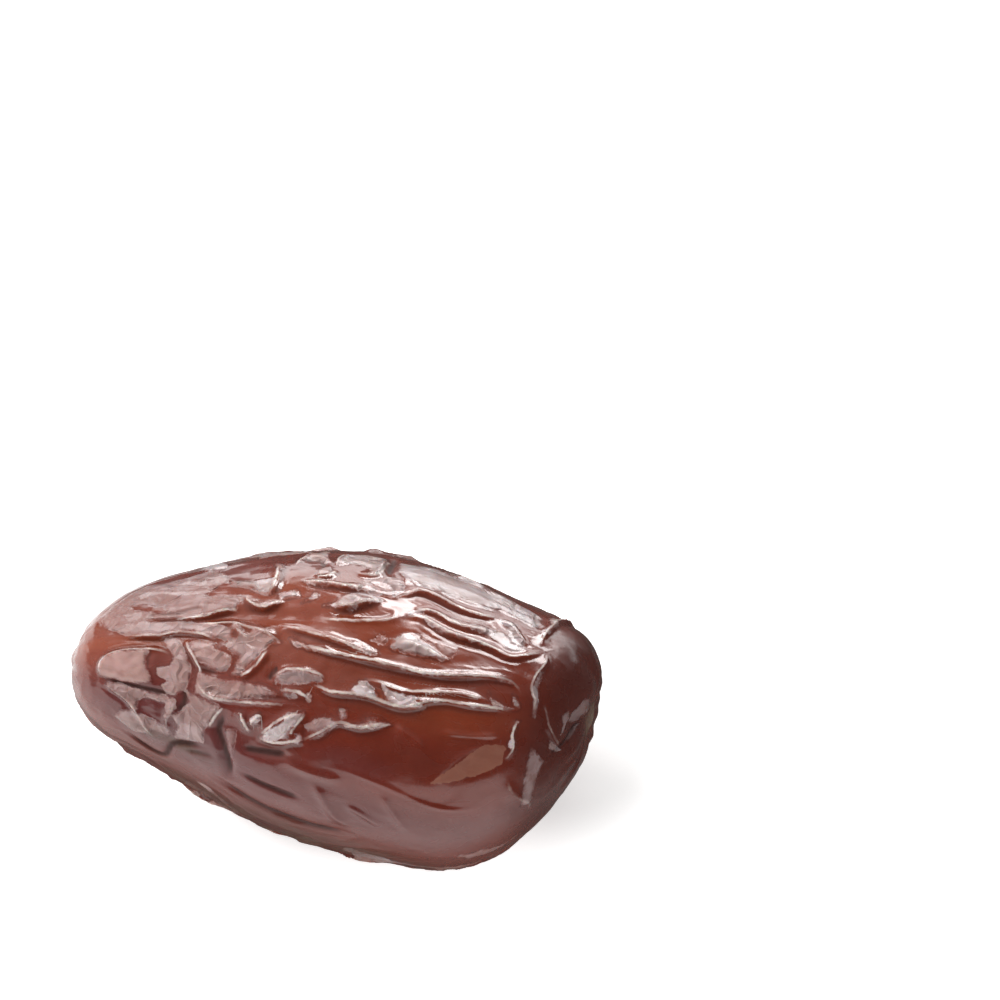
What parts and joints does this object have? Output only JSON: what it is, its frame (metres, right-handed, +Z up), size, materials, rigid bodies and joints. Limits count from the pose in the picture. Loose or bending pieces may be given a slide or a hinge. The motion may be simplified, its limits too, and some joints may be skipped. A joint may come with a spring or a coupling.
{
  "type": "medjool date",
  "caption": "Large ripe medjool date with glossy folded red-brown skin, a tropical fruit to eat fresh or to set out on a plate, lying on its side.",
  "frame": {"origin": "on the resting surface, under the middle of the fruit's bounding box", "axes": "+Z up, +X along the fruit's long axis towards its blunt stem end, -Y towards the front"},
  "size_m": [0.0476, 0.029, 0.0265],
  "materials": {
    "date_skin": "glossy, thin, folded fruit skin"
  },
  "bodies": {
    "root": {"medjool_date": "date_skin"}
  },
  "joints": []
}
